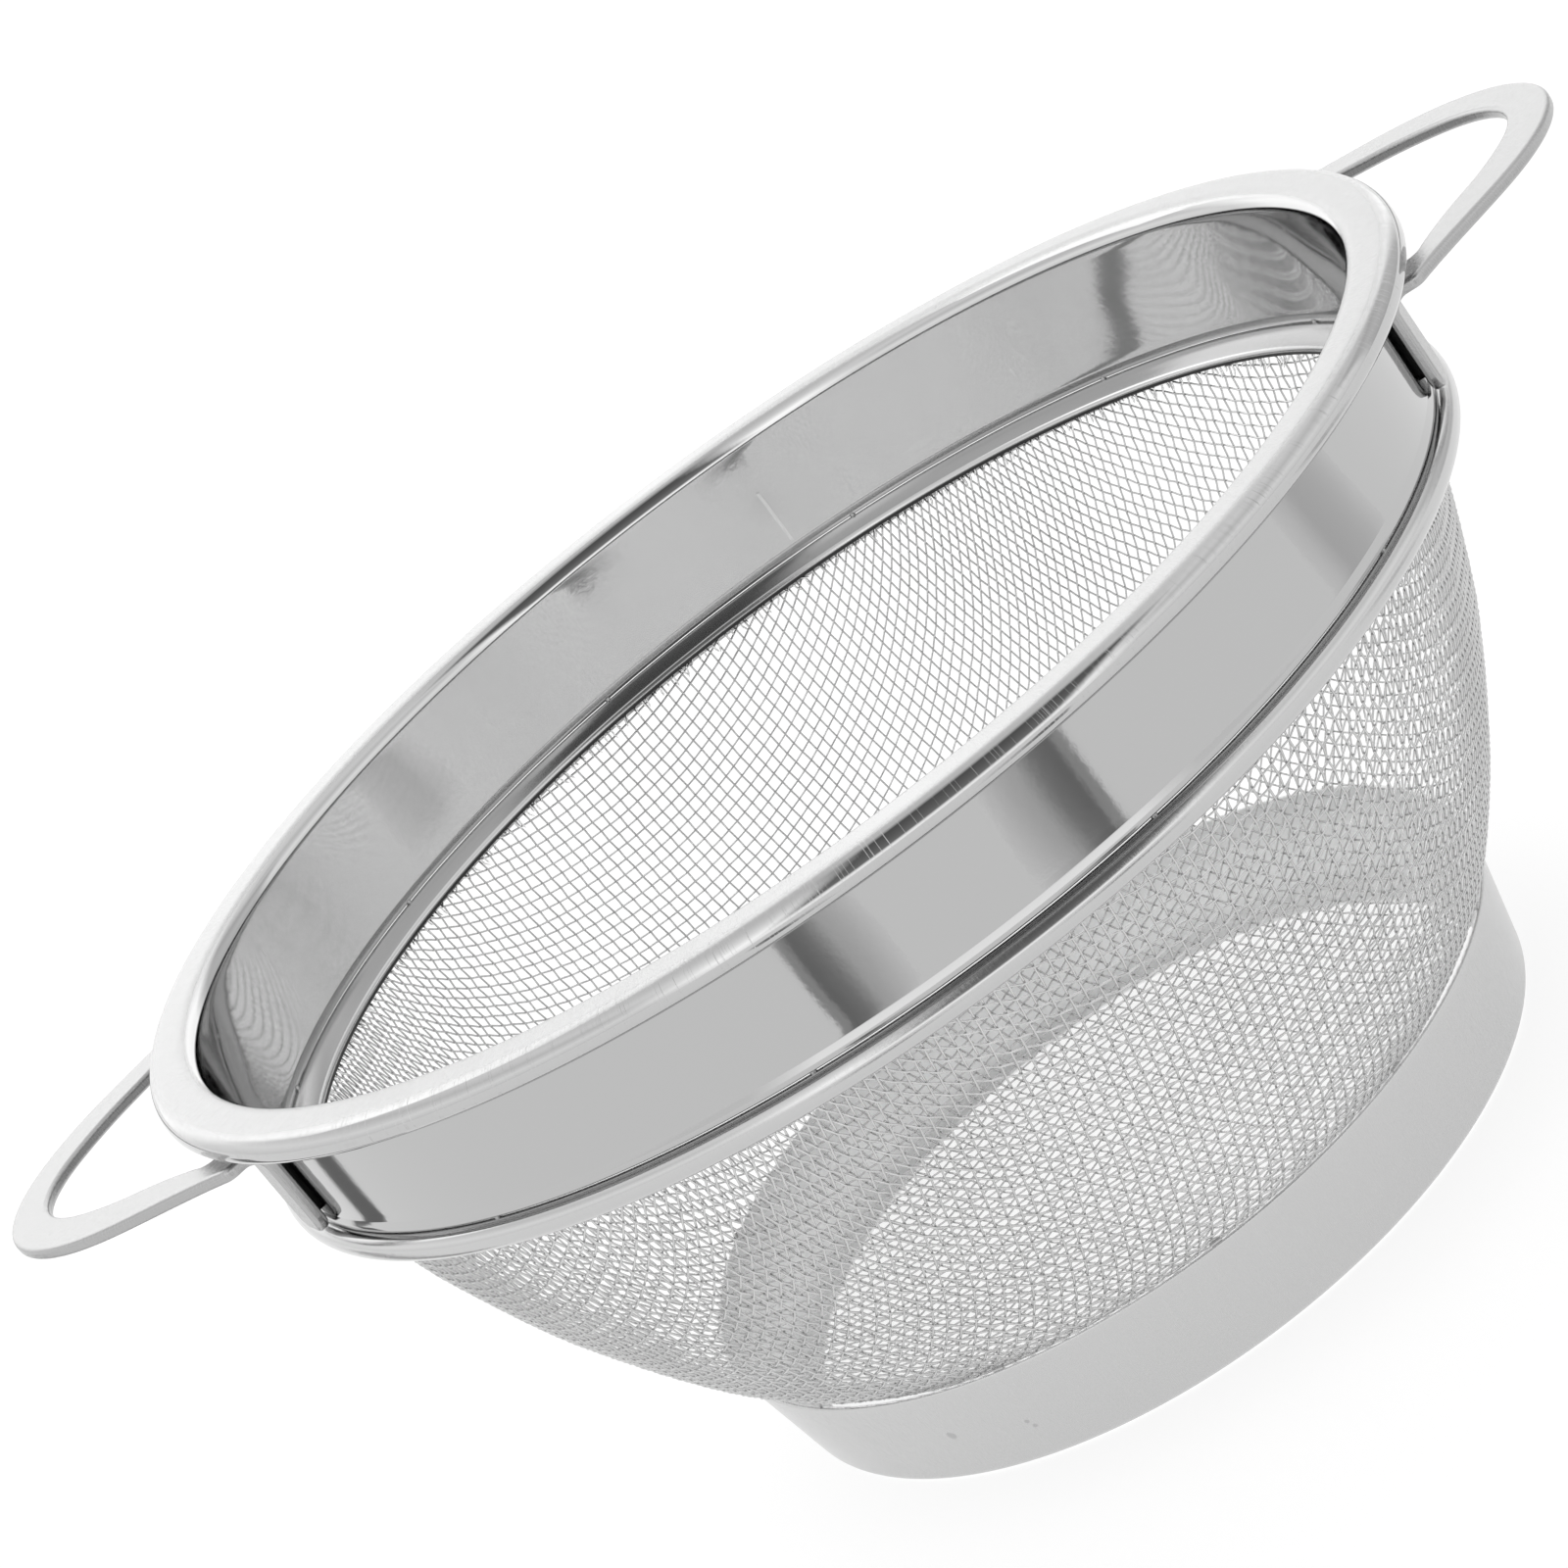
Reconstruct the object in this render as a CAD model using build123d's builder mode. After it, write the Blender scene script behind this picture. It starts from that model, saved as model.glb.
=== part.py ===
"""Footed stainless-steel mesh strainer with two loop handles.

Sheet-metal rings are revolved from the middle line of their strip; lengths are in millimetres.
The foot stands on Z = 0, +Z is the axis of the bowl and the handles lie along X.
"""

import os
from math import cos, radians, sin

from build123d import *

# Driving dimensions
rim_radius = 110.0
total_height = 109.0
sheet = 0.8

# Rim band: hem, flange, wall and flared lip
hem_height = 4.0
hem_turn_in = 0.7
hem_bend = 0.5
hem_inner_height = 0.1
rim_outer_bend = 2.4
rim_inner_bend = 2.4
wall_radius = 101.5
lip_radius = 101.9
lip_height = 1.7
lip_bend = 1.0
lip_bottom_z = 85.33

# Binding ring that grips the edge of the mesh
ring_radius = 104.0
ring_top_z = 84.75
ring_bottom_z = 81.5
ring_bead_bend = 1.55
ledge_outer_radius = 101.2
ledge_inner_radius = 97.4
ledge_inner_z = 83.3
ledge_outer_bend = 1.5
ledge_inner_bend = 0.6
ledge_drop = 1.0
ring_tuck_radius = 99.7

# Mesh bowl, two wires thick
mesh_thickness = 0.8
bowl_bottom_z = 4.0
floor_edge = (42.3, 6.6)
shoulder = (74.5, 26.0)
bowl_top = (98.4, 81.7)
mesh_tail = ((98.75, 82.5), (101.6, 83.75), (102.8, 83.75))
mesh_tail_bend = 0.5

# Foot ring
foot_radius = 65.9
foot_lip_radius = 61.5
foot_bend = 1.4
foot_top_radius = 69.15
foot_top_z = 18.3

# Handles: flat bar loops whose two legs are bent down onto the wall
bar_thickness = 2.0
bar_top_z = 102.4
leg_angle = 19.3
leg_width = 8.0
leg_bend = 3.4
leg_bottom_z = 85.7
leg_clearance = 0.55
arm_start_radius = 109.3
outer_loop = ((109.6, 34.9), (117.3, 30.6), (125.2, 25.7), (132.4, 19.0), (137.6, 10.2))
outer_tip = 139.5
inner_loop = ((109.6, 27.4), (114.5, 23.7), (119.8, 20.2), (124.8, 16.0), (129.6, 10.4))
inner_tip = 132.8
edge_round = 0.7
corner_round = 2.5

# Welds
leg_weld_length = 10.0
leg_weld_width = 2.4
leg_weld_height = 92.6
leg_weld_depth = 1.5
ring_nugget_count = 12
ring_nugget_start = 15.0
ring_nugget_radius = 0.5
ring_nugget_centre = 101.7
ring_nugget_height = 0.5
foot_nugget_count = 12
foot_nugget_arc = 1.4
foot_nugget_outline = ((68.76, 18.38), (68.62, 18.52), (68.98, 18.85), (69.25, 18.6), (69.25, 18.3))
seam_angle = 81.0
seam_arc = 0.35
seam_proud = 0.1
seam_bottom_z = 87.8
seam_top_z = 98.0

wall_outer_radius = wall_radius + sheet / 2
leg_inner_radius = wall_outer_radius + leg_clearance
leg_middle_radius = leg_inner_radius + bar_thickness / 2
bar_middle_z = bar_top_z - bar_thickness / 2


def save(part, name):
    """Label a finished piece and write it as a STEP file."""
    part.label = name
    export_step(part, f"parts/{name}.step")


os.makedirs("parts", exist_ok=True)

# Rim band
with BuildPart() as rim_band:
    with BuildSketch(Plane.XZ):
        with BuildLine():
            FilletPolyline(
                (rim_radius - sheet / 2 - hem_turn_in, total_height - hem_height + hem_inner_height),
                (rim_radius - sheet / 2, total_height - hem_height + sheet),
                (rim_radius - sheet / 2, total_height - sheet / 2),
                (wall_radius, total_height - sheet / 2),
                (wall_radius, lip_bottom_z + lip_height),
                (lip_radius, lip_bottom_z),
                radius=[hem_bend, rim_outer_bend, rim_inner_bend, lip_bend],
            )
        trace(line_width=sheet)
    revolve(axis=Axis.Z)
save(rim_band.part, "rim_band")

# Binding ring
with BuildPart() as binding_ring:
    with BuildSketch(Plane.XZ):
        with BuildLine():
            FilletPolyline(
                (ring_tuck_radius, ring_bottom_z),
                (ring_radius, ring_bottom_z),
                (ring_radius, ring_top_z),
                (ledge_outer_radius, ring_top_z),
                (ledge_inner_radius, ledge_inner_z),
                (ledge_inner_radius, ledge_inner_z - ledge_drop),
                radius=[ring_bead_bend, ring_bead_bend, ledge_outer_bend, ledge_inner_bend],
            )
        trace(line_width=sheet)
    revolve(axis=Axis.Z)
save(binding_ring.part, "binding_ring")

# Mesh bowl
with BuildPart() as mesh_bowl:
    with BuildSketch(Plane.XZ):
        with BuildLine():
            floor = TangentArc((0, bowl_bottom_z), floor_edge, tangent=(1, 0))
            corner = TangentArc(floor @ 1, shoulder, tangent=floor % 1)
            side = TangentArc(corner @ 1, bowl_top, tangent=corner % 1)
            FilletPolyline(side @ 1, *mesh_tail, radius=mesh_tail_bend)
        trace(line_width=mesh_thickness)
    revolve(axis=Axis.Z)
save(mesh_bowl.part, "mesh_bowl")

# Foot ring
with BuildPart() as foot_ring:
    with BuildSketch(Plane.XZ):
        with BuildLine():
            FilletPolyline(
                (foot_lip_radius, sheet / 2),
                (foot_radius, sheet / 2),
                (foot_top_radius, foot_top_z),
                radius=foot_bend,
            )
        trace(line_width=sheet)
    revolve(axis=Axis.Z)
save(foot_ring.part, "foot_ring")


def outward_at(angle):
    """Horizontal direction pointing away from the bowl's axis at an angle."""
    return Vector(cos(radians(angle)), sin(radians(angle)), 0)


def leg_plane(angle):
    """Vertical plane through the bowl's axis, its local X pointing outwards."""
    outward = outward_at(angle)
    return Plane(origin=(0, 0, 0), x_dir=outward, z_dir=outward.cross(Vector(0, 0, 1)))


def loop_edge(side_step, points, tip):
    """Points of one closed-end edge of a loop, from its first leg round to its second."""
    outward = outward_at(leg_angle)
    start = outward * arm_start_radius + Vector(-outward.Y, outward.X, 0) * side_step
    half = [(start.X, start.Y), *points]
    return [*half, (tip, 0), *[(x, -y) for x, y in reversed(half)]]


# Handle on the +X side
with BuildPart() as handle_right:
    outer_edge = loop_edge(leg_width / 2, outer_loop, outer_tip)
    inner_edge = loop_edge(-leg_width / 2, inner_loop, inner_tip)
    with BuildSketch(Plane.XY.offset(bar_top_z - bar_thickness)):
        with BuildLine():
            Spline(*outer_edge)
            Spline(*inner_edge)
            Line(outer_edge[0], inner_edge[0])
            Line(outer_edge[-1], inner_edge[-1])
        make_face()
    extrude(amount=bar_thickness)
    for angle in (leg_angle, -leg_angle):
        with BuildSketch(leg_plane(angle)):
            with BuildLine():
                FilletPolyline(
                    (arm_start_radius, bar_middle_z),
                    (leg_middle_radius, bar_middle_z),
                    (leg_middle_radius, leg_bottom_z),
                    radius=leg_bend,
                )
            trace(line_width=bar_thickness)
        extrude(amount=leg_width / 2, both=True)
    arm_corners = handle_right.edges().filter_by(Axis.Z).group_by(SortBy.LENGTH)[0]
    fillet(arm_corners, radius=corner_round)
    leg_end_corners = handle_right.edges().group_by(Axis.Z)[0].group_by(SortBy.LENGTH)[0]
    fillet(leg_end_corners, radius=corner_round)
    fillet(handle_right.edges(), radius=edge_round)
save(handle_right.part, "handle_right")

# The same handle on the -X side
with BuildPart() as handle_left:
    add(handle_right.part, rotation=(0, 0, 180))
save(handle_left.part, "handle_left")

# Upright weld between each handle leg and the wall
with BuildPart() as handle_welds:
    for angle in (leg_angle, 180 - leg_angle, 180 + leg_angle, -leg_angle):
        outward = outward_at(angle)
        leg_face = Plane(origin=outward * leg_inner_radius, x_dir=(0, 0, 1), z_dir=outward)
        with BuildSketch(leg_face):
            with Locations((leg_weld_height, 0)):
                SlotOverall(leg_weld_length, leg_weld_width)
        extrude(amount=-leg_weld_depth)
    Cylinder(radius=wall_outer_radius, height=2 * total_height, mode=Mode.SUBTRACT)
save(handle_welds.part, "handle_welds")

# Spot-weld nuggets between the flared lip and the binding ring
with BuildPart() as ring_weld_nuggets:
    with BuildSketch(Plane.XY.offset(ring_top_z + sheet / 2)):
        with PolarLocations(ring_nugget_centre, ring_nugget_count, start_angle=ring_nugget_start):
            Circle(ring_nugget_radius)
    extrude(amount=ring_nugget_height)
    add(rim_band.part, mode=Mode.SUBTRACT)
save(ring_weld_nuggets.part, "ring_weld_nuggets")

# Spot-weld nuggets between the foot's top edge and the mesh
with BuildPart() as foot_weld_nuggets:
    for index in range(foot_nugget_count):
        with BuildSketch(Plane.XZ.rotated((0, 0, index * 360 / foot_nugget_count))):
            with BuildLine():
                Polyline(*foot_nugget_outline, close=True)
            make_face()
        revolve(axis=Axis.Z, revolution_arc=foot_nugget_arc)
save(foot_weld_nuggets.part, "foot_weld_nuggets")

# Butt-weld bead inside the wall
with BuildPart() as band_seam_weld:
    with BuildSketch(Plane.XZ.rotated((0, 0, seam_angle))):
        with Locations((wall_radius - sheet / 2, seam_bottom_z)):
            Rectangle(seam_proud, seam_top_z - seam_bottom_z, align=(Align.MAX, Align.MIN))
    revolve(axis=Axis.Z, revolution_arc=seam_arc)
save(band_seam_weld.part, "band_seam_weld")
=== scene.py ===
"""Looks of the footed wire-mesh strainer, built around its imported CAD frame.

Profiles are given in millimetres as (radius, height) and turned into metres when a mesh is made.
"""

import math

import bpy
import numpy as np
from mathutils import Matrix, Vector


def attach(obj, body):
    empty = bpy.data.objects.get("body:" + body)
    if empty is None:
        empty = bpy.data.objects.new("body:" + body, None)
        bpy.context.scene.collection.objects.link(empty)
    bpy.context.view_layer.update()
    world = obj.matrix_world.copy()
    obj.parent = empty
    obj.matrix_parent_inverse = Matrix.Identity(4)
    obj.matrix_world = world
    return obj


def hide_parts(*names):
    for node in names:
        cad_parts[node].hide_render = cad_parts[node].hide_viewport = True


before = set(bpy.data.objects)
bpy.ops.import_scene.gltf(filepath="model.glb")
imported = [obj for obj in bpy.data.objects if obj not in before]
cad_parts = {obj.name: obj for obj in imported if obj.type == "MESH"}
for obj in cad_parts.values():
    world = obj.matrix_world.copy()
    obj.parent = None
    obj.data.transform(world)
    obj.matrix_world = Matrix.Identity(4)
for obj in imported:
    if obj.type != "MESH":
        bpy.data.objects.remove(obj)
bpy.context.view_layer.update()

MM = 0.001
BODY = "root"

# ---------------------------------------------------------------- meshes


def new_piece(name, points_mm, quads, replaced=()):
    """A smooth-shaded mesh object from points in millimetres, riding on the body."""
    mesh = bpy.data.meshes.new(name)
    mesh.from_pydata((np.asarray(points_mm) * MM).tolist(), [], np.asarray(quads).tolist())
    mesh.polygons.foreach_set("use_smooth", [True] * len(mesh.polygons))
    mesh.validate()
    piece = bpy.data.objects.new(name, mesh)
    bpy.context.scene.collection.objects.link(piece)
    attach(piece, BODY)
    if replaced:
        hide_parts(*replaced)
    return piece


def rounded_path(corners, radii, arc_step=math.radians(9)):
    """Points along a polyline whose inner corners are rounded by arcs."""
    corners = [np.array(corner, float) for corner in corners]
    path = [corners[0]]
    for before, corner, after, radius in zip(corners, corners[1:], corners[2:], radii):
        back = (before - corner) / np.linalg.norm(before - corner)
        ahead = (after - corner) / np.linalg.norm(after - corner)
        half = math.acos(np.clip(back @ ahead, -1, 1)) / 2
        reach = radius / math.tan(half)
        middle = (back + ahead) / np.linalg.norm(back + ahead)
        centre = corner + middle * radius / math.sin(half)
        first = corner + back * reach - centre
        last = corner + ahead * reach - centre
        turn = math.pi - 2 * half
        steps = max(2, int(turn / arc_step))
        for step in range(steps + 1):
            share = step / steps
            weight = math.sin((1 - share) * turn), math.sin(share * turn)
            path.append(centre + (first * weight[0] + last * weight[1]) / math.sin(turn))
    path.append(corners[-1])
    return np.array(path)


def subdivided(path, longest):
    """The path with extra points so that no run is longer than a given length."""
    points = [path[0]]
    for start, end in zip(path, path[1:]):
        count = max(1, int(np.ceil(np.linalg.norm(end - start) / longest)))
        points += [start + (end - start) * k / count for k in range(1, count + 1)]
    return np.array(points)


def strip_outline(path, thickness, end_round=0.22, cap_steps=5):
    """Closed outline of a sheet strip that follows a path, with softly rounded cut edges."""
    tangent = np.gradient(path, axis=0)
    tangent /= np.linalg.norm(tangent, axis=1)[:, None]
    normal = np.stack([-tangent[:, 1], tangent[:, 0]], axis=1)
    path = path.copy()
    path[0] += tangent[0] * end_round
    path[-1] -= tangent[-1] * end_round
    left, right = path + normal * thickness / 2, path - normal * thickness / 2
    caps = []
    for end, sign in ((-1, 1), (0, -1)):
        angles = np.linspace(math.pi / 2, -math.pi / 2, cap_steps + 2)[1:-1]
        along, across = sign * tangent[end] * end_round, sign * normal[end] * thickness / 2
        caps.append([path[end] + along * math.cos(a) + across * math.sin(a) for a in angles])
    return np.concatenate([left, caps[0], right[::-1], caps[1]])


def revolved(name, outline, replaced, segments=540, wobble=None):
    """A ring made by turning a closed outline about the bowl's axis."""
    angle = np.linspace(0, 2 * math.pi, segments, endpoint=False)[:, None]
    radius, height = outline[:, 0][None, :], outline[:, 1][None, :]
    radius = radius + (wobble(angle, radius, height) if wobble else 0 * angle)
    points = np.stack([radius * np.cos(angle), radius * np.sin(angle), height + 0 * angle], axis=-1)
    count = outline.shape[0]
    ring, spot = np.meshgrid(np.arange(segments), np.arange(count), indexing="ij")
    ring_next, spot_next = (ring + 1) % segments, (spot + 1) % count
    here, there = ring * count, ring_next * count
    quads = np.stack([here + spot, here + spot_next, there + spot_next, there + spot], axis=-1)
    return new_piece(name, points.reshape(-1, 3), quads.reshape(-1, 4), replaced)


# ---------------------------------------------------------------- sheet-metal rings

SHEET = 0.8
WALL_MIDDLE_HEIGHT = 96.5
WALL_HALF_HEIGHT = 6.5
WALL_OUTERMOST = 104.5
rng = np.random.default_rng(7)
wave_count = np.array([5, 8, 13, 21, 34, 47])
wave_size = np.array([0.03, 0.022, 0.014, 0.008, 0.005, 0.003])
wave_phase = rng.uniform(0, 2 * math.pi, (2, len(wave_count)))


def sheet_waves(angle, radius, height):
    """Slight unevenness of rolled thin sheet, largest half-way up the wall."""
    total = 0
    for count, size, low, high in zip(wave_count, wave_size, *wave_phase):
        total = total + size * np.sin(count * angle + low + 0.09 * height * np.sin(high + 2 * angle))
    on_wall = np.exp(-(((height - WALL_MIDDLE_HEIGHT) / WALL_HALF_HEIGHT) ** 2)) * (radius < WALL_OUTERMOST)
    return total * on_wall


rim_path = rounded_path(
    [(108.9, 105.1), (109.6, 105.8), (109.6, 108.6), (101.5, 108.6), (101.5, 87.03), (101.9, 85.26)],
    [0.5, 2.4, 2.4, 1.0],
)
rim_outline = strip_outline(subdivided(rim_path, 1.0), SHEET)
rim = revolved("rim_band_sheet", rim_outline, ["rim_band"], 720, sheet_waves)

ring_path = rounded_path(
    [(99.7, 81.5), (104.0, 81.5), (104.0, 84.75), (101.2, 84.75), (97.4, 83.3), (97.4, 82.3)],
    [1.55, 1.55, 1.5, 0.6],
)
ring_outline = strip_outline(subdivided(ring_path, 1.2), SHEET)
ring = revolved("binding_ring_sheet", ring_outline, ["binding_ring"])

foot_path = rounded_path([(61.5, 0.4), (65.9, 0.4), (69.15, 18.3)], [1.4])
foot_outline = strip_outline(subdivided(foot_path, 1.5), SHEET, 0.3)
foot = revolved("foot_ring_sheet", foot_outline, ["foot_ring"])

# ---------------------------------------------------------------- woven wire bowl

PITCH = 2.1
WIRE_RADIUS = 0.17
WIRE_TIP_RADIUS = 0.02
WEAVE_TURN = math.radians(20)
UNEVEN_CROSSING = 0.035
UNEVEN_CLOTH = 0.06
PARTS_PER_FAMILY = 3
SETTLING_ROUNDS = 12
SMALLEST_DETERMINANT = 1e-6
LARGEST_MISS = 1e-3
BOWL_CORNERS = ((0.0, 4.0), (42.3, 6.6), (74.5, 26.0), (98.4, 81.7))
BOWL_TAIL = ((98.75, 82.5), (100.2, 83.15), (101.5, 83.65))


def bowl_profile():
    """Radius, height and their slopes along the bowl's meridian, by arc length."""
    position, direction, points = np.array(BOWL_CORNERS[0]), np.array([1.0, 0.0]), []
    for target in BOWL_CORNERS[1:]:
        step = np.array(target) - position
        side = np.array([-direction[1], direction[0]])
        bend = 2 * (step @ side) / (step @ step)
        centre = position + side / bend
        start = math.atan2(*(position - centre)[::-1])
        length = 2 * math.asin(np.linalg.norm(step) * bend / 2) / bend
        angles = start + bend * np.linspace(0, length, 400)
        arc = centre + np.stack([np.cos(angles), np.sin(angles)], axis=1) / bend
        points.append(arc[:-1])
        direction = np.array([-math.sin(angles[-1]), math.cos(angles[-1])])
        position = np.array(target)
    points = np.concatenate(points + [np.array([BOWL_CORNERS[-1], *BOWL_TAIL])])
    along = np.concatenate([[0], np.cumsum(np.linalg.norm(np.diff(points, axis=0), axis=1))])
    station = np.linspace(0, along[-1], 4000)
    radius, height = np.interp(station, along, points[:, 0]), np.interp(station, along, points[:, 1])
    return station, radius, height, np.gradient(radius, station), np.gradient(height, station)


STATION, RADIUS, HEIGHT, RADIUS_SLOPE, HEIGHT_SLOPE = bowl_profile()


def on_bowl(s, turn):
    """Points on the bowl at an arc length from its centre and a turn about its axis."""
    r, z = np.interp(s, STATION, RADIUS), np.interp(s, STATION, HEIGHT)
    return np.stack([r * np.cos(turn), r * np.sin(turn), z], axis=-1)


def bowl_normal(s, turn):
    """Outward normal of the bowl."""
    dr, dz = np.interp(s, STATION, RADIUS_SLOPE), np.interp(s, STATION, HEIGHT_SLOPE)
    size = np.hypot(dr, dz)
    return np.stack([dz * np.cos(turn), dz * np.sin(turn), -dr], axis=-1) / size[..., None]


def weave_quarter():
    """Crossings of cloth drawn over a quarter of the bowl: every wire keeps its spacing along the other."""
    limit = STATION[-1]
    size = int(limit / PITCH) + 4
    s, turn = np.full((size, size), np.nan), np.full((size, size), np.nan)
    station = 0.0
    for k in range(size):
        if station > limit:
            break
        s[k, 0] = s[0, k] = station
        turn[k, 0], turn[0, k] = 0.0, math.pi / 2
        start, station = station, station + PITCH
        for _ in range(5):
            ahead, here = on_bowl(np.array(station), 0.0), on_bowl(np.array(start), 0.0)
            station += PITCH - np.linalg.norm(ahead - here)
    for diagonal in range(2, 2 * size - 1):
        i = np.arange(max(1, diagonal - size + 1), min(diagonal, size))
        j = diagonal - i
        known = ~np.isnan(s[i - 1, j] + s[i, j - 1] + s[i - 1, j - 1])
        i, j = i[known], j[known]
        if not len(i):
            continue
        a, b = on_bowl(s[i - 1, j], turn[i - 1, j]), on_bowl(s[i, j - 1], turn[i, j - 1])
        opposite = on_bowl(s[i - 1, j - 1], turn[i - 1, j - 1])
        guess = a + b - opposite
        at, ang = s[i - 1, j] + s[i, j - 1] - s[i - 1, j - 1], np.arctan2(guess[:, 1], guess[:, 0])
        for _ in range(SETTLING_ROUNDS):
            here = on_bowl(at, ang)
            r = np.interp(at, STATION, RADIUS)
            dr, dz = np.interp(at, STATION, RADIUS_SLOPE), np.interp(at, STATION, HEIGHT_SLOPE)
            along = np.stack([dr * np.cos(ang), dr * np.sin(ang), dz], axis=-1)
            across = np.stack([-r * np.sin(ang), r * np.cos(ang), 0 * r], axis=-1)
            miss = [((here - p) ** 2).sum(1) - PITCH**2 for p in (a, b)]
            m = [[2 * ((here - p) * d).sum(1) for d in (along, across)] for p in (a, b)]
            det = m[0][0] * m[1][1] - m[0][1] * m[1][0]
            det = np.where(np.abs(det) < SMALLEST_DETERMINANT, SMALLEST_DETERMINANT, det)
            at = at - np.clip((miss[0] * m[1][1] - miss[1] * m[0][1]) / det, -1, 1)
            ang = ang - np.clip((m[0][0] * miss[1] - m[1][0] * miss[0]) / det, -0.3, 0.3)
        here = on_bowl(at, ang)
        error = sum(np.abs(np.linalg.norm(here - p, axis=1) - PITCH) for p in (a, b))
        good = (error < LARGEST_MISS) & (at <= limit)
        s[i[good], j[good]], turn[i[good], j[good]] = at[good], ang[good]
    return s, turn


def weave_grid():
    """Crossing points and outward normals over the whole bowl, on a grid of wire numbers."""
    s, turn = weave_quarter()
    size = s.shape[0]
    whole_s, whole_turn = np.full((2, 2 * size - 1, 2 * size - 1), np.nan)
    number = np.arange(-size + 1, size)
    u, v = np.meshgrid(number, number, indexing="ij")
    quarters = (
        ((u >= 0) & (v >= 0), u, v, 0),
        ((u < 0) & (v >= 0), v, -u, 1),
        ((u < 0) & (v < 0), -u, -v, 2),
        ((u >= 0) & (v < 0), -v, u, 3),
    )
    for inside, i, j, quarter in quarters:
        whole_s[inside] = s[i[inside], j[inside]]
        whole_turn[inside] = turn[i[inside], j[inside]] + quarter * math.pi / 2
    whole_turn += WEAVE_TURN
    over_or_under = (u + v) % 2 * 2 - 1
    return on_bowl(whole_s, whole_turn), bowl_normal(whole_s, whole_turn), over_or_under


def smooth_noise(shape, passes, size):
    """Random offsets that change gradually from one wire crossing to the next."""
    field = rng.normal(size=(*shape, 3))
    for _ in range(passes):
        along = np.roll(field, 1, 0) + np.roll(field, -1, 0)
        across = np.roll(field, 1, 1) + np.roll(field, -1, 1)
        field = (field + along + across) / 5
    return field / field.std() * size


def wire_tube(crossing, normal, lift, sides=5):
    """Points and faces of one crimped wire through a row of crossings."""
    crest = crossing + normal * (lift * WIRE_RADIUS)[:, None]
    middle = (crossing[1:] + crossing[:-1]) / 2
    path = np.empty((2 * len(crest) - 1, 3))
    path[0::2], path[1::2] = crest, middle
    up = np.repeat(normal, 2, axis=0)[: len(path)]
    ahead = np.gradient(path, axis=0)
    ahead /= np.linalg.norm(ahead, axis=1)[:, None]
    side = np.cross(ahead, up)
    side /= np.linalg.norm(side, axis=1)[:, None]
    up = np.cross(side, ahead)
    radius = np.full(len(path), WIRE_RADIUS)
    radius[[0, -1]] = WIRE_TIP_RADIUS
    angle = np.arange(sides) * 2 * math.pi / sides
    ring = np.cos(angle)[None, :, None] * side[:, None] + np.sin(angle)[None, :, None] * up[:, None]
    points = path[:, None] + ring * radius[:, None, None]
    row, spot = np.meshgrid(np.arange(len(path) - 1), np.arange(sides), indexing="ij")
    following = (spot + 1) % sides
    here, there = row * sides, (row + 1) * sides
    quads = np.stack([here + spot, there + spot, there + following, here + following], axis=-1)
    return points.reshape(-1, 3), quads.reshape(-1, 4)


def wire_group(name, tubes):
    """One piece made of many separate wires."""
    offsets = np.cumsum([0] + [len(points) for points, _ in tubes[:-1]])
    points = np.concatenate([points for points, _ in tubes])
    quads = np.concatenate([quads + offset for (_, quads), offset in zip(tubes, offsets)])
    return new_piece(name, points, quads, ["mesh_bowl"])


def wires_of(family, points, facing, lift):
    """The wires that run along the second axis of the grid, in a few pieces."""
    rows = [k for k in range(points.shape[0]) if (~np.isnan(points[k, :, 0])).sum() > 2]
    pieces = []
    for part, group in enumerate(np.array_split(rows, PARTS_PER_FAMILY)):
        tubes = []
        for k in group:
            known = np.flatnonzero(~np.isnan(points[k, :, 0]))
            known = np.arange(known[0], known[-1] + 1)
            tubes.append(wire_tube(points[k, known], facing[k, known], lift[k, known]))
        pieces.append(wire_group(f"{family}_wires_{part + 1}", tubes))
    return pieces


crossings, normals, lifts = weave_grid()
crossings = crossings + smooth_noise(crossings.shape[:2], 2, UNEVEN_CROSSING)
crossings = crossings + smooth_noise(crossings.shape[:2], 12, UNEVEN_CLOTH)
wire_pieces = wires_of("warp", crossings, normals, lifts)
wire_pieces += wires_of("weft", crossings.swapaxes(0, 1), normals.swapaxes(0, 1), -lifts.T)

WIRE_END_COUNT = 430
WIRE_END_TOP = 82.5
WIRE_END_START_DEPTH = 0.40
WIRE_END_CRIMP = np.array([1.0, -0.6, 0.8, -0.8])


def loose_ends(count):
    """Short loose wire ends that start in the cloth behind the ledge and lean into the bowl below it."""
    top = np.interp(WIRE_END_TOP, HEIGHT, STATION)
    tubes = []
    for turn, length, lean, depth in zip(
        np.linspace(0, 2 * math.pi, count, endpoint=False) + rng.uniform(-0.004, 0.004, count),
        rng.uniform(1.1, 2.8, count),
        rng.normal(0, 0.006, count),
        rng.uniform(0.45, 0.95, count),
    ):
        share = np.linspace(0, 1, len(WIRE_END_CRIMP))
        s, angle = top - share * length, turn + share**2 * lean
        normal = bowl_normal(s, angle)
        off_cloth = WIRE_END_START_DEPTH + (depth - WIRE_END_START_DEPTH) * share
        tubes.append(wire_tube(on_bowl(s, angle) - normal * off_cloth[:, None], normal, WIRE_END_CRIMP))
    return wire_group("wire_ends", tubes)


wire_ends = loose_ends(WIRE_END_COUNT)

# ---------------------------------------------------------------- materials


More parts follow.
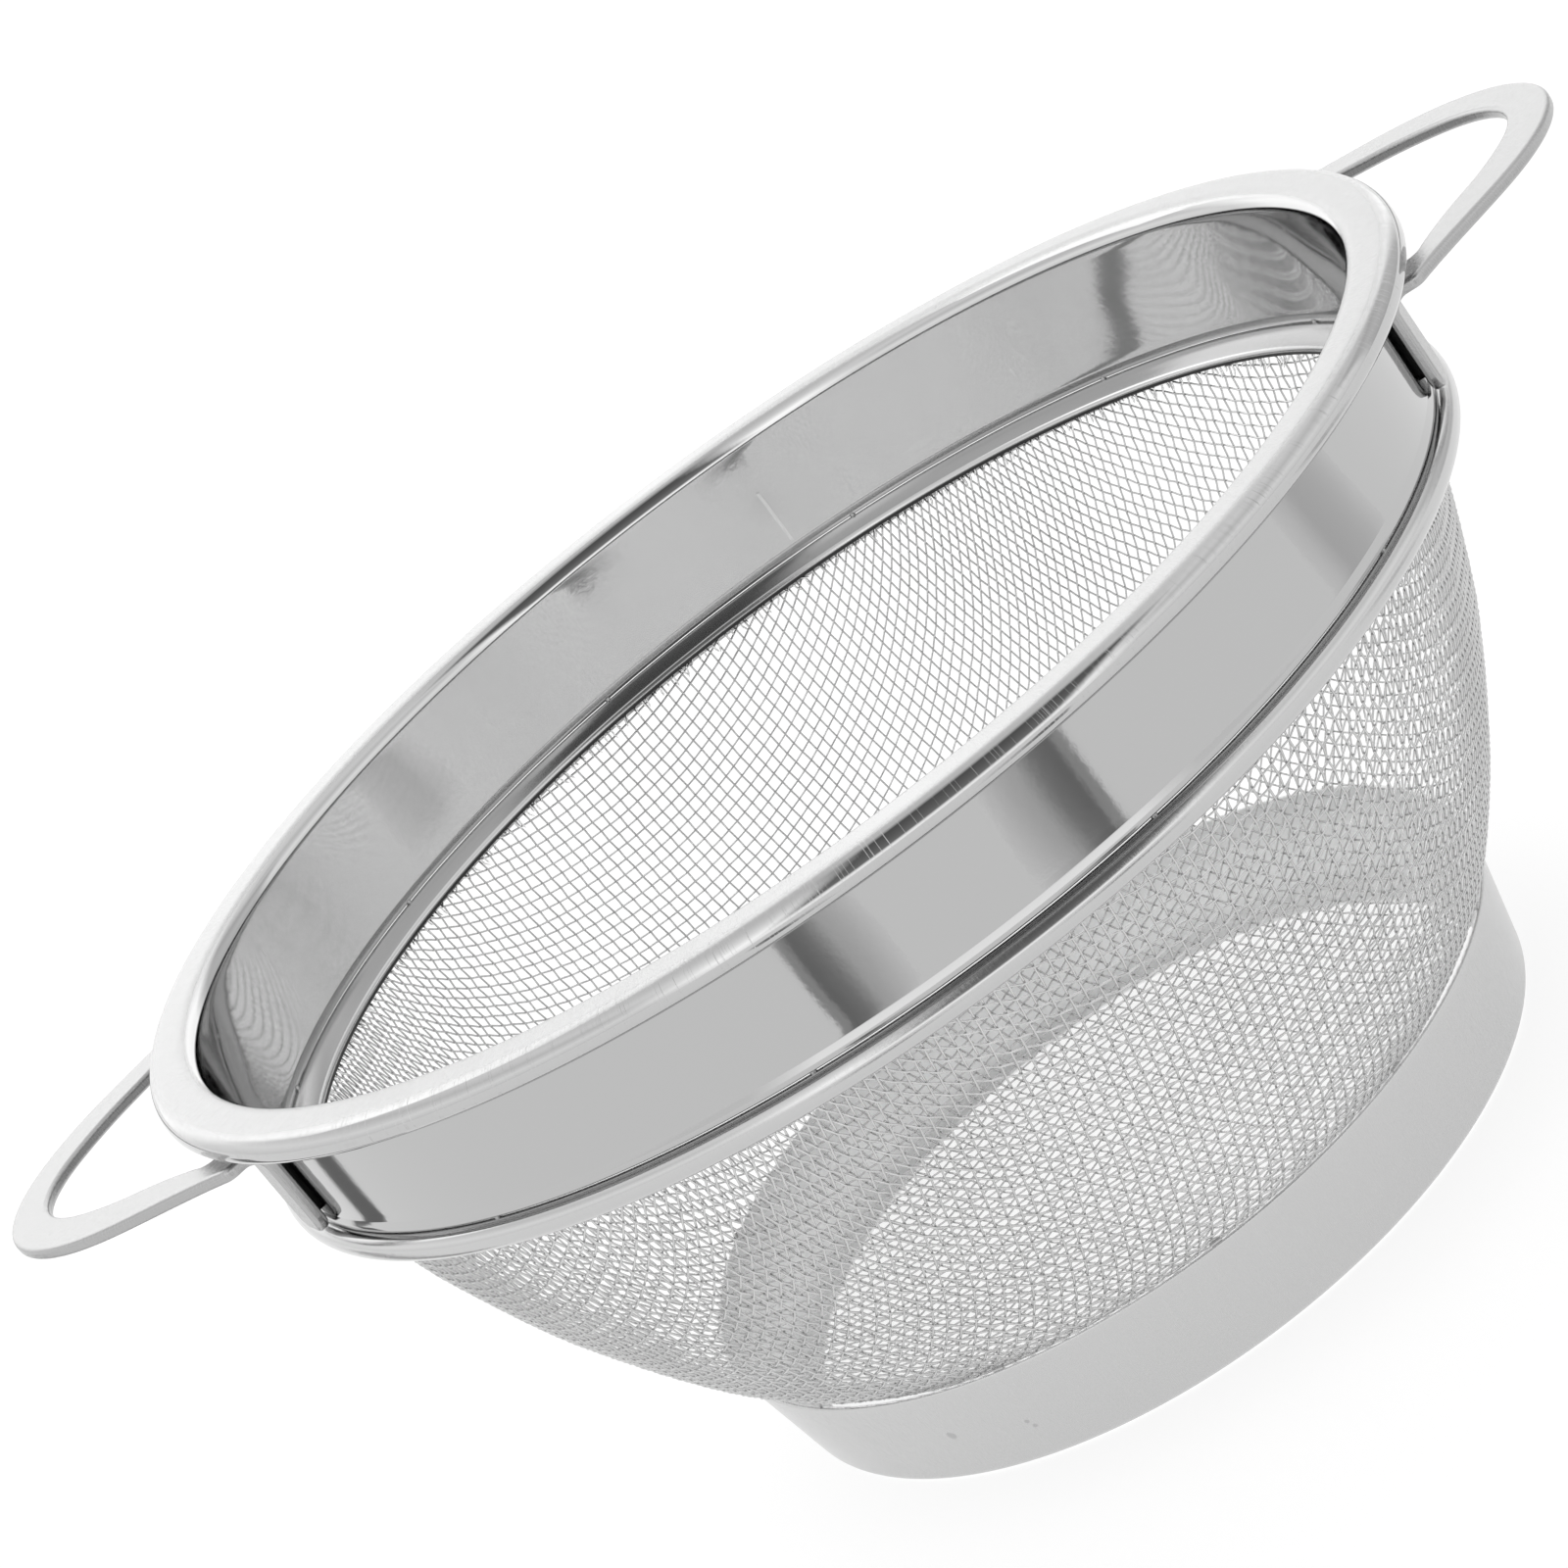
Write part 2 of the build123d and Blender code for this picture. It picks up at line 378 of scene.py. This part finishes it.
class Nodes:
    """Short helper for building one material's node tree."""

    def __init__(self, tree):
        self.tree = tree

    def add(self, kind, **settings):
        node = self.tree.nodes.new(kind)
        for key, value in settings.items():
            if key in node.inputs:
                node.inputs[key].default_value = value
            else:
                setattr(node, key, value)
        return node

    def link(self, source, target):
        self.tree.links.new(source, target)

    def place(self):
        """Position on the object in metres."""
        return self.add("ShaderNodeTexCoord").outputs["Object"]

    def math(self, operation, a, b=0.0):
        node = self.add("ShaderNodeMath", operation=operation)
        for socket, value in zip(node.inputs, (a, b)):
            if isinstance(value, (int, float)):
                socket.default_value = value
            else:
                self.link(value, socket)
        return node.outputs[0]

    def vector(self, operation, a, b=None, scale=None):
        node = self.add("ShaderNodeVectorMath", operation=operation)
        self.link(a, node.inputs[0])
        if b is not None:
            if isinstance(b, tuple):
                node.inputs[1].default_value = b
            else:
                self.link(b, node.inputs[1])
        if scale is not None:
            node.inputs["Scale"].default_value = scale
        gives_number = operation in ("LENGTH", "DOT_PRODUCT", "DISTANCE")
        return node.outputs["Value" if gives_number else "Vector"]

    def noise(self, vector, scale, detail=3.0, roughness=0.5):
        node = self.add("ShaderNodeTexNoise", Scale=scale, Detail=detail, Roughness=roughness)
        self.link(vector, node.inputs["Vector"])
        return node.outputs["Fac"]

    def remap(self, value, low, high, to_low, to_high):
        node = self.add("ShaderNodeMapRange")
        sockets = ("From Min", "From Max", "To Min", "To Max")
        for socket, number in zip(sockets, (low, high, to_low, to_high)):
            node.inputs[socket].default_value = number
        self.link(value, node.inputs["Value"])
        return node.outputs["Result"]

    def rise(self, value, start, end):
        """0 below start, 1 above end."""
        return self.remap(value, start, end, 0, 1)

    def fall(self, value, start, end):
        """1 below start, 0 above end."""
        return self.remap(value, start, end, 1, 0)

    def mix(self, factor, a, b):
        node = self.add("ShaderNodeMix", data_type="FLOAT")
        for socket, value in zip((node.inputs[0], node.inputs[2], node.inputs[3]), (factor, a, b)):
            if isinstance(value, (int, float)):
                socket.default_value = value
            else:
                self.link(value, socket)
        return node.outputs[0]

    def gray(self, value):
        """A colour from one number."""
        node = self.add("ShaderNodeCombineColor")
        for name in ("Red", "Green", "Blue"):
            self.link(value, node.inputs[name])
        return node.outputs["Color"]

    def bump(self, height, distance, strength):
        node = self.add("ShaderNodeBump", Strength=strength, Distance=distance)
        self.link(height, node.inputs["Height"])
        return node.outputs["Normal"]


def new_metal(name, roughness, base):
    """A metallic material, its node helper and its shader."""
    material = bpy.data.materials.new(name)
    material.use_nodes = True
    n = Nodes(material.node_tree)
    shader = n.tree.nodes["Principled BSDF"]
    shader.inputs["Metallic"].default_value = 1.0
    shader.inputs["Roughness"].default_value = roughness
    shader.inputs["Base Color"].default_value = (base, base, base, 1)
    return material, n, shader


def round_the_axis(n):
    """Directions for grain on a turned ring: unit vector about the axis, distance from it, height."""
    place = n.place()
    flat = n.vector("MULTIPLY", place, (1.0, 1.0, 0.0))
    radius = n.vector("LENGTH", flat)
    unit = n.vector("NORMALIZE", flat)
    split = n.add("ShaderNodeSeparateXYZ")
    n.link(place, split.inputs[0])
    return unit, radius, split.outputs["Z"]


def grain_vector(n, unit, radius, height, around, across):
    """Coordinates whose noise is fine round the axis and long across it."""
    scaled = n.vector("SCALE", unit, scale=around)
    join = n.add("ShaderNodeCombineXYZ")
    reach = n.math("ADD", n.math("MULTIPLY", radius, across), n.math("MULTIPLY", height, across))
    n.link(reach, join.inputs["Z"])
    return n.vector("ADD", scaled, join.outputs[0])


# Base and roughness for the foot's inner face; its pale base is painted light.
PAINTED_LIGHT_BASE = 0.92
PALE_ROUGHNESS = 0.6
MARK_STRENGTH = 0.30
MARK_DARKENING = 0.35
MARK_ROUGHNESS = 0.6
RELIEF_DEPTH = 0.00006
RELIEF_STRENGTH = 0.6
CLOUD_RELIEF = 0.10
SCRATCH_RELIEF = 0.7


def steel(name, base, satin, polished, grain, zone=None, lift=None, scratched=None, spots=(), tints=()):
    """Sheet steel: satin brushed where zone is 1, polished where it is 0, painted pale where lift is 1 as
    painted light.

    Spots are (place, size) marks, and tints are (zone, base, roughness or None) for single faces; here the
    tints paint light and shade onto single faces.
    """
    material, n, shader = new_metal(name, satin, base)
    unit, radius, height = round_the_axis(n)
    satin_zone = zone(n, radius, height) if zone else 1.0
    radial = n.noise(grain_vector(n, unit, radius, height, 110.0, 9.0), 14.0, 4.0, 0.6)
    hairs = n.noise(grain_vector(n, unit, radius, height, 110.0, 25.0), 45.0, 3.0, 0.65)
    blotch = n.noise(n.place(), 60.0, 3.0)
    cloud = n.noise(n.place(), 900.0, 2.0)
    streaks = n.math("ADD", n.math("MULTIPLY", radial, 0.5), n.math("MULTIPLY", hairs, 0.5))
    rough_satin = n.remap(streaks, 0.3, 0.7, satin - 0.06, satin + 0.08)
    rough_polish = n.remap(blotch, 0.35, 0.7, polished * 0.75, polished * 1.4)
    rough = n.mix(satin_zone, rough_polish, rough_satin)
    tone = n.remap(streaks, 0.3, 0.7, base * 0.965, base * 1.035)
    # Painted light: a pale tone where lift is 1.
    if lift:
        painted_light_mask = lift(n, radius, height)
        tone = n.mix(painted_light_mask, tone, PAINTED_LIGHT_BASE)
        rough = n.mix(painted_light_mask, rough, PALE_ROUGHNESS)
    for spot, size in spots:
        near = n.math("ADD", n.vector("DISTANCE", n.place(), spot), n.math("MULTIPLY", cloud, size))
        mark = n.remap(near, size * 1.2, size * 1.6, MARK_STRENGTH, 0)
        tone = n.mix(mark, tone, base * MARK_DARKENING)
        rough = n.mix(mark, rough, MARK_ROUGHNESS)
    for face, face_base, face_roughness in tints:
        there = face(n, radius, height)
        tone = n.mix(there, tone, face_base)
        if face_roughness:
            rough = n.mix(there, rough, face_roughness)
    n.link(rough, shader.inputs["Roughness"])
    n.link(n.gray(tone), shader.inputs["Base Color"])
    depth = n.mix(satin_zone, n.math("MULTIPLY", cloud, CLOUD_RELIEF), n.math("MULTIPLY", streaks, grain))
    if scratched:
        fine = n.noise(grain_vector(n, unit, radius, height, 240.0, 20.0), 3.0, 2.0, 0.7)
        cuts = n.math("MULTIPLY", n.rise(fine, 0.63, 0.70), scratched(n, radius, height))
        depth = n.math("ADD", depth, n.math("MULTIPLY", cuts, SCRATCH_RELIEF))
    n.link(n.bump(depth, RELIEF_DEPTH, RELIEF_STRENGTH), shader.inputs["Normal"])
    return material


FOOT_TAPER = 0.1816
FOOT_OUTER_RADIUS = 66.3
FOOT_SKIN_RADIUS = 0.0658


def flange_zone(n, radius, height):
    """1 on the flat of the flange, falling over its rolled edge, 0 on the wall."""
    across = n.math("MULTIPLY", n.rise(radius, 0.1020, 0.1026), n.fall(radius, 0.1076, 0.1090))
    return n.math("MULTIPLY", across, n.rise(height, 0.1070, 0.1074))


def rolled_edge(n, radius, height):
    """1 on the rolled outer edge of the flange."""
    return n.math("MULTIPLY", n.rise(radius, 0.1072, 0.1080), n.rise(height, 0.1050, 0.1060))


def foot_inside_painted_light(n, radius, height):
    """1 on the inner face of the tapered foot, which is left matt and painted pale: painted light that
    keeps it bright under the bowl.
    """
    just_inside = n.math("ADD", n.math("MULTIPLY", height, FOOT_TAPER), FOOT_SKIN_RADIUS)
    return n.rise(n.math("SUBTRACT", just_inside, radius), 0.0, 0.0001)


def inner_wall_painted_light(n, radius, height):
    """1 on the inner face of the rim band's wall."""
    return n.math("MULTIPLY", n.fall(radius, 0.1013, 0.1015), n.fall(height, 0.1076, 0.1080))


def outer_wall_painted_shade(n, radius, height):
    """1 on the outer face of the rim band's wall."""
    across = n.math("MULTIPLY", n.rise(radius, 0.1015, 0.1017), n.fall(radius, 0.1026, 0.1032))
    return n.math("MULTIPLY", across, n.fall(height, 0.1066, 0.1072))


def hem_painted_shade(n, radius, height):
    """1 on the turned-down edge below the ledge, where it is crimped onto the mesh; the steel there is
    painted near black and dull, painted shade for the dark gap between hem and mesh.
    """
    return n.math("MULTIPLY", n.fall(radius, 0.0978, 0.0980), n.fall(height, 0.0829, 0.0831))


# The wall's inner face is painted lighter and its outer face darker than the sheet: painted light and
# painted shade.
rim_steel = steel(
    "rim_steel", 0.52, 0.28, 0.06, 2.0, flange_zone, scratched=rolled_edge,
    tints=((inner_wall_painted_light, 0.57, None), (outer_wall_painted_shade, 0.48, None)),
)
# The hem tint paints the turned-down edge near black: painted shade for the gap under the ledge.
ring_steel = steel("ring_steel", 0.55, 0.12, 0.10, 0.25, tints=((hem_painted_shade, 0.06, 0.5),))


def on_foot(turn, height):
    """A point on the foot's outer face, in metres."""
    radius, turn = FOOT_OUTER_RADIUS + FOOT_TAPER * height, math.radians(turn)
    return radius * math.cos(turn) * MM, radius * math.sin(turn) * MM, height * MM


MARK_SIZE = 0.0008
SPECK_SIZE = 0.0004
foot_marks = (
    (on_foot(228.0, 9.5), MARK_SIZE),
    (on_foot(239.0, 6.8), SPECK_SIZE),
    (on_foot(238.5, 8.0), SPECK_SIZE),
)
# The foot's inner face is painted pale, painted light in place of the bowl's shade.
foot_steel = steel("foot_steel", 0.58, 0.24, 0.10, 0.8, lift=foot_inside_painted_light, spots=foot_marks)
handle_steel = steel("handle_steel", 0.43, 0.24, 0.10, 0.8)
weld_steel = steel("weld_steel", 0.50, 0.25, 0.20, 0.5)
# Near-black steel for the handle welds: painted shade for the dark slit between the handle legs and the
# wall.
painted_shade_weld_steel = steel("painted_shade_weld_steel", 0.04, 0.60, 0.20, 0.5)
seam_steel = steel("seam_steel", 0.68, 0.14, 0.08, 0.3)


def wire_material():
    """Drawn wire, a little uneven in shine and tone."""
    material, n, shader = new_metal("mesh_wire", 0.2, 0.6)
    spots = n.noise(n.place(), 700.0, 2.0)
    drift = n.noise(n.place(), 40.0, 2.0)
    n.link(n.remap(spots, 0.3, 0.7, 0.14, 0.28), shader.inputs["Roughness"])
    n.link(n.gray(n.remap(drift, 0.3, 0.7, 0.56, 0.64)), shader.inputs["Base Color"])
    return material


mesh_wire = wire_material()
# The loose wire ends are much whiter than the wire: a painted glint for the bright flecks under the ledge.
wire_end_painted_glint = new_metal("wire_end_painted_glint", 0.15, 0.90)[0]


def dress(piece, material):
    """Give a piece one material."""
    piece.data.materials.clear()
    piece.data.materials.append(material)


dress(rim, rim_steel)
dress(ring, ring_steel)
dress(foot, foot_steel)
for piece in wire_pieces:
    dress(piece, mesh_wire)
dress(wire_ends, wire_end_painted_glint)
for node in ("handle_left", "handle_right"):
    dress(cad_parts[node], handle_steel)
for node in ("ring_weld_nuggets", "foot_weld_nuggets"):
    dress(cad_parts[node], weld_steel)
# The handle welds get painted shade: near-black steel for the dark slit at the legs.
dress(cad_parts["handle_welds"], painted_shade_weld_steel)
dress(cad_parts["band_seam_weld"], seam_steel)

# ---------------------------------------------------------------- floor, light and camera


CAMERA_YAW = -0.98
CAMERA_PITCH = 17.858
CAMERA_ROLL = 37.305
CAMERA_PLACE = (0, -0.54616, 0.2616)
CAMERA_LENS = 89.26
SENSOR_WIDTH = 36.0
FLOOR_HALF = 12.0
FLAG_HEIGHT = 0.001
FRONT_GAP_DEPTH = 0.85
BACK_GAP_DEPTH = 0.55
SIDE_DEPTH = 0.32


def make_floor():
    """A plain pale sheet, partly lit from within so that shadows stay weak."""
    mesh = bpy.data.meshes.new("floor")
    half = FLOOR_HALF
    corners = [(-half, -half, 0), (half, -half, 0), (half, half, 0), (-half, half, 0)]
    mesh.from_pydata(corners, [], [(0, 1, 2, 3)])
    floor = bpy.data.objects.new("floor", mesh)
    bpy.context.scene.collection.objects.link(floor)
    paper = bpy.data.materials.new("floor_paper")
    paper.use_nodes = True
    shader = paper.node_tree.nodes["Principled BSDF"]
    shader.inputs["Base Color"].default_value = (0.27, 0.27, 0.27, 1)
    shader.inputs["Roughness"].default_value = 0.9
    shader.inputs["Specular IOR Level"].default_value = 0.1
    shader.inputs["Emission Color"].default_value = (1, 1, 1, 1)
    shader.inputs["Emission Strength"].default_value = 0.78
    mesh.materials.append(paper)


def make_sky():
    """Studio light: bright at the back, dimmer sides, a dark gap in front and one at the back right."""
    world = bpy.data.worlds.new("studio")
    bpy.context.scene.world = world
    world.use_nodes = True
    n = Nodes(world.node_tree)
    background = n.tree.nodes["Background"]
    background.inputs["Strength"].default_value = 1.0
    direction = n.add("ShaderNodeTexCoord").outputs["Generated"]
    split = n.add("ShaderNodeSeparateXYZ")
    n.link(direction, split.inputs[0])
    x, y, z = split.outputs
    ramp = n.add("ShaderNodeValToRGB")
    n.link(z, ramp.inputs["Fac"])
    stops = ramp.color_ramp.elements
    stops[0].position, stops[0].color = 0.0, (1.45, 1.45, 1.45, 1)
    stops[1].position, stops[1].color = 1.0, (0.85, 0.85, 0.85, 1)
    for position, value in ((0.3, 1.75), (0.6, 1.3)):
        stop = stops.new(position)
        stop.color = (value, value, value, 1)
    middle = n.math("ADD", n.math("MULTIPLY", z, 0.22), 0.02)
    aside = n.math("ABSOLUTE", n.math("SUBTRACT", x, middle))
    beyond = n.math("ADD", aside, n.math("MULTIPLY", z, 0.1))
    front_gap = n.math("MULTIPLY", n.fall(beyond, 0.38, 0.50), n.fall(y, -0.30, -0.08))
    front_gap = n.math("MULTIPLY", front_gap, n.rise(z, 0.12, 0.30))
    flat = n.vector("NORMALIZE", n.vector("MULTIPLY", direction, (1.0, 1.0, 0.0)))
    towards = n.vector("DOT_PRODUCT", flat, (0.82, 0.57, 0.0))
    back_gap = n.math("MULTIPLY", n.rise(towards, 0.90, 0.97), n.fall(z, 0.45, 0.65))
    sideways = n.remap(n.math("ABSOLUTE", x), 0.50, 0.68, 0, SIDE_DEPTH)
    sides = n.math("MULTIPLY", sideways, n.fall(z, 0.6, 0.8))
    front = n.math("MULTIPLY", front_gap, FRONT_GAP_DEPTH)
    dark = n.math("MAXIMUM", front, n.math("MULTIPLY", back_gap, BACK_GAP_DEPTH))
    dark = n.math("MAXIMUM", dark, sides)
    light = n.vector("MULTIPLY", ramp.outputs["Color"], n.gray(n.math("SUBTRACT", 1.0, dark)))
    n.link(light, background.inputs["Color"])


def make_flag(name, start, end, widths, rails):
    """A dark strip near the floor that only polished metal sees, shaded across by (step, shade) rails."""
    start, end = np.array(start), np.array(end)
    side = np.array([-(end - start)[1], (end - start)[0]]) / np.linalg.norm(end - start)
    rows = ((start, widths[0]), (end, widths[1]))
    corners = [spot + side * width * step for spot, width in rows for step, _ in rails]
    mesh = bpy.data.meshes.new(name)
    faces = [(k, k + 1, k + 1 + len(rails), k + len(rails)) for k in range(len(rails) - 1)]
    mesh.from_pydata([(x, y, FLAG_HEIGHT) for x, y in corners], [], faces)
    shade = mesh.attributes.new("shade", "FLOAT", "POINT")
    shade.data.foreach_set("value", [value for _, value in rails] * 2)
    flag = bpy.data.objects.new(name, mesh)
    bpy.context.scene.collection.objects.link(flag)
    cloth = bpy.data.materials.new(name)
    cloth.use_nodes = True
    n = Nodes(cloth.node_tree)
    shader = n.tree.nodes["Principled BSDF"]
    shader.inputs["Base Color"].default_value = (0, 0, 0, 1)
    shader.inputs["Specular IOR Level"].default_value = 0.0
    shader.inputs["Emission Strength"].default_value = 1.0
    shade_node = n.add("ShaderNodeAttribute", attribute_name="shade")
    n.link(n.gray(shade_node.outputs["Fac"]), shader.inputs["Emission Color"])
    mesh.materials.append(cloth)
    flag.visible_camera = flag.visible_diffuse = flag.visible_shadow = flag.visible_transmission = False


def make_lamp(name, location, target, size, power):
    """A soft rectangular lamp aimed at a point."""
    light = bpy.data.lights.new(name, "AREA")
    light.shape, light.size, light.size_y = "RECTANGLE", size[0], size[1]
    light.energy = power
    lamp = bpy.data.objects.new(name, light)
    bpy.context.scene.collection.objects.link(lamp)
    lamp.location = location
    lamp.rotation_euler = (Vector(target) - Vector(location)).to_track_quat("-Z", "Y").to_euler()
    lamp.visible_camera = False


def make_camera():
    """The main view, from the front and above, with the camera rolled to its side."""
    yaw, pitch, roll = (math.radians(a) for a in (CAMERA_YAW, CAMERA_PITCH, CAMERA_ROLL))
    ahead = Vector((math.sin(yaw) * math.cos(pitch), math.cos(yaw) * math.cos(pitch), -math.sin(pitch)))
    level_right = Vector((math.cos(yaw), -math.sin(yaw), 0))
    level_down = ahead.cross(level_right)
    right = level_right * math.cos(roll) + level_down * math.sin(roll)
    down = -level_right * math.sin(roll) + level_down * math.cos(roll)
    data = bpy.data.cameras.new("camera")
    data.sensor_width, data.lens = SENSOR_WIDTH, CAMERA_LENS
    data.clip_start, data.clip_end = 0.02, 60
    camera = bpy.data.objects.new("camera", data)
    bpy.context.scene.collection.objects.link(camera)
    turn = Matrix((right, -down, -ahead)).transposed().to_4x4()
    camera.matrix_world = Matrix.Translation(CAMERA_PLACE) @ turn
    bpy.context.scene.camera = camera


SOFT_INSIDE = ((-0.75, 1.0), (-0.6, 0.4), (-0.35, 0.45), (-0.2, 0.22), (0.45, 0.3), (1.1, 0.65), (2.6, 1.0))
EVEN = ((-1.0, 1.0), (-0.7, 0.2), (0.7, 0.2), (1.0, 1.0))
FAINT = ((-1.0, 1.0), (-0.2, 0.72), (0.5, 0.78), (1.4, 1.0))

make_floor()
make_sky()
make_lamp("key_light", (-0.6, 0.9, 1.3), (0, 0, 0.06), (1.2, 0.9), 3)
make_flag("flag_left", (-0.095, -0.29), (-0.195, -0.50), (0.02, 0.033), SOFT_INSIDE)
make_flag("flag_right", (0.112, -0.29), (0.215, -0.50), (-0.024, -0.04), SOFT_INSIDE)
make_flag("flag_far_left", (-0.15, -0.001), (-0.45, 0.253), (0.014, 0.03), EVEN)
make_flag("flag_far_right", (0.25, -0.055), (0.50, -0.11), (0.035, 0.06), FAINT)
make_camera()
bpy.context.scene.view_settings.view_transform = "Standard"
